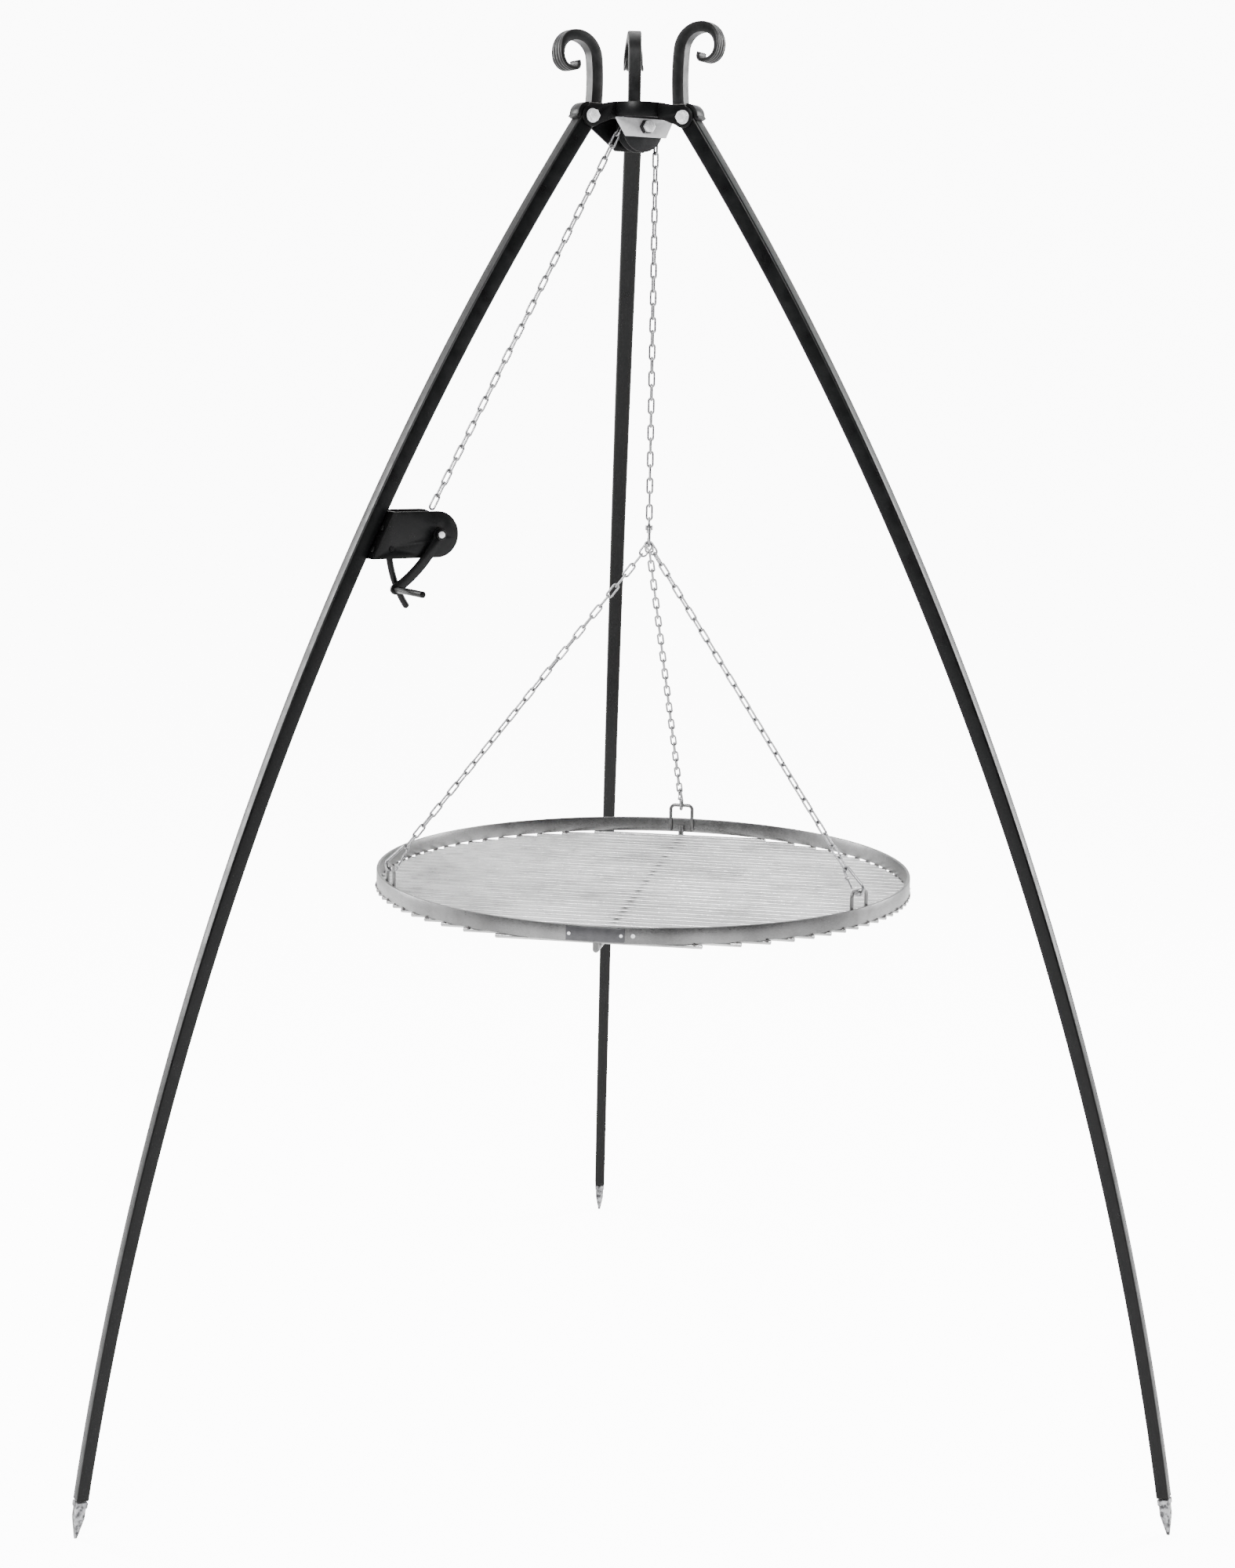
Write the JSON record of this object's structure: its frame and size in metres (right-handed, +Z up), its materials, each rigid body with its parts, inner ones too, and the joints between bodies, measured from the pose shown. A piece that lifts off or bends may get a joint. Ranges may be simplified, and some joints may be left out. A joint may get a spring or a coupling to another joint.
{
  "type": "campfire tripod with winch-hung round grate",
  "caption": "Campfire tripod on bowed folding legs with scrolled horns, a pulley head and crank winch, carrying a round rod grate on chains.",
  "frame": {"origin": "centre of the bounding box at floor level, under the tripod", "axes": "+Z up; the rear leg runs towards +Y and the winch is on the leg towards -X -Y"},
  "size_m": [1.3338, 1.1557, 1.8148],
  "materials": {
    "black_coat": "satin powder coat",
    "forged_black": "satin black over forged bar",
    "black_iron": "matt black",
    "bright_fastener": "bright zinc",
    "zinc_chain": "bright zinc",
    "hook_steel": "polished",
    "grate_steel": "brushed stainless with heat marks",
    "scuffed_steel": "scuffed bare steel",
    "bright_plate": "zinc-grey, matt",
    "dark_plate": "satin, blank"
  },
  "bodies": {
    "head": {"head_ring": "black_coat", "bracket_left": "black_coat", "bracket_right": "black_coat", "bracket_rear": "black_coat", "cheek_near": "bright_plate", "cheek_far": "black_coat", "pulley_axle": "bright_fastener", "pulley_nuts": "black_iron", "pulley_chain": "zinc_chain", "pivot_bolts": "bright_fastener", "pivot_nuts": "bright_fastener"},
    "pulley": {"pulley_wheel": "black_iron"},
    "leg_left": {"leg_left_tube": "black_coat", "horn_left": "forged_black", "cap_left": "black_coat", "spike_left": "scuffed_steel", "winch_housing": "black_coat", "winch_screws": "black_coat", "lock_pin": "black_coat", "winch_chain": "zinc_chain"},
    "leg_right": {"leg_right_tube": "black_coat", "horn_right": "forged_black", "cap_right": "black_coat", "spike_right": "scuffed_steel"},
    "leg_rear": {"leg_rear_tube": "black_coat", "horn_rear": "forged_black", "cap_rear": "black_coat", "spike_rear": "scuffed_steel"},
    "drum": {"drum": "black_iron", "winch_axle": "bright_fastener", "wound_chain": "zinc_chain", "crank_arm": "black_coat", "crank_handle": "black_coat", "axle_collar": "black_coat"},
    "lock": {"lock_lever": "black_coat"},
    "hoist": {"main_chain": "zinc_chain", "swivel_eye": "zinc_chain"},
    "hook": {"top_hook": "hook_steel"},
    "top_gate": {"top_gate": "hook_steel"},
    "grate": {"sling_left": "zinc_chain", "sling_right": "zinc_chain", "sling_rear": "zinc_chain", "snap_left": "hook_steel", "snap_right": "hook_steel", "snap_rear": "hook_steel", "grate_rim": "grate_steel", "grate_rods": "grate_steel", "crossbar": "grate_steel", "lugs": "grate_steel", "blank_plate": "dark_plate", "plate_rivets": "bright_fastener"},
    "gate_rear": {"gate_rear": "hook_steel"},
    "gate_left": {"gate_left": "hook_steel"},
    "gate_right": {"gate_right": "hook_steel"}
  },
  "joints": [
    {"name": "leg_rear_fold", "type": "hinge", "parent": "head", "child": "leg_rear", "pos_m": [0, -0.1184, 1.697], "axis": [-1, 0, 0], "range_deg": [0, 6]},
    {"name": "leg_left_fold", "type": "hinge", "parent": "head", "child": "leg_left", "pos_m": [-0.06244, -0.22655, 1.697], "axis": [0.5, -0.866, 0], "range_deg": [0, 6], "deforming": ["winch_chain"]},
    {"name": "leg_right_fold", "type": "hinge", "parent": "head", "child": "leg_right", "pos_m": [0.06244, -0.22655, 1.697], "axis": [0.5, 0.866, 0], "range_deg": [0, 6]},
    {"name": "pulley_turn", "type": "hinge", "parent": "head", "child": "pulley", "pos_m": [0.0052, -0.1875, 1.688], "axis": [0.5, -0.866, 0], "range_deg": [-837, 360]},
    {"name": "winch_turn", "type": "hinge", "parent": "leg_left", "child": "drum", "pos_m": [-0.25115, -0.3355, 1.192], "axis": [0.5, -0.866, 0], "range_deg": [-1825, 783]},
    {"name": "lock_swing", "type": "hinge", "parent": "leg_left", "child": "lock", "pos_m": [-0.29684, -0.38036, 1.176], "axis": [0.5, -0.866, 0], "range_deg": [-15, 20]},
    {"name": "hoist_lift", "type": "slide", "parent": "head", "child": "hoist", "axis": [0, 0, 1], "range_m": [-0.35, 0.15], "deforming": ["main_chain"]},
    {"name": "hook_swivel", "type": "hinge", "parent": "hoist", "child": "hook", "pos_m": [0.02598, -0.1755, 1.187], "axis": [0, 0, 1], "continuous": true},
    {"name": "grate_swing", "type": "hinge", "parent": "hook", "child": "grate", "pos_m": [0.02598, -0.1755, 1.167], "axis": [0, 1, 0], "range_deg": [-4, 4]},
    {"name": "top_gate_press", "type": "hinge", "parent": "hook", "child": "top_gate", "pos_m": [0.02598, -0.1699, 1.1849], "axis": [1, 0, 0], "range_deg": [-20, 0], "stiffness_Nm_per_rad": 0.02},
    {"name": "gate_rear_press", "type": "hinge", "parent": "grate", "child": "gate_rear", "pos_m": [0.09349, 0.14235, 0.77797], "axis": [-0.9779, 0.2093, -0.0017], "range_deg": [-20, 0], "stiffness_Nm_per_rad": 0.02},
    {"name": "gate_left_press", "type": "hinge", "parent": "grate", "child": "gate_left", "pos_m": [-0.28293, -0.27587, 0.77778], "axis": [0.309, -0.9511, 0], "range_deg": [-20, 0], "stiffness_Nm_per_rad": 0.02},
    {"name": "gate_right_press", "type": "hinge", "parent": "grate", "child": "gate_right", "pos_m": [0.26732, -0.39303, 0.77793], "axis": [0.6653, 0.7465, 0.006], "range_deg": [-20, 0], "stiffness_Nm_per_rad": 0.02}
  ],
  "couplings": [
    {"joint": "pulley_turn", "follows": "hoist_lift", "rad_per_m": 41.667},
    {"joint": "winch_turn", "follows": "hoist_lift", "rad_per_m": 90.909}
  ]
}
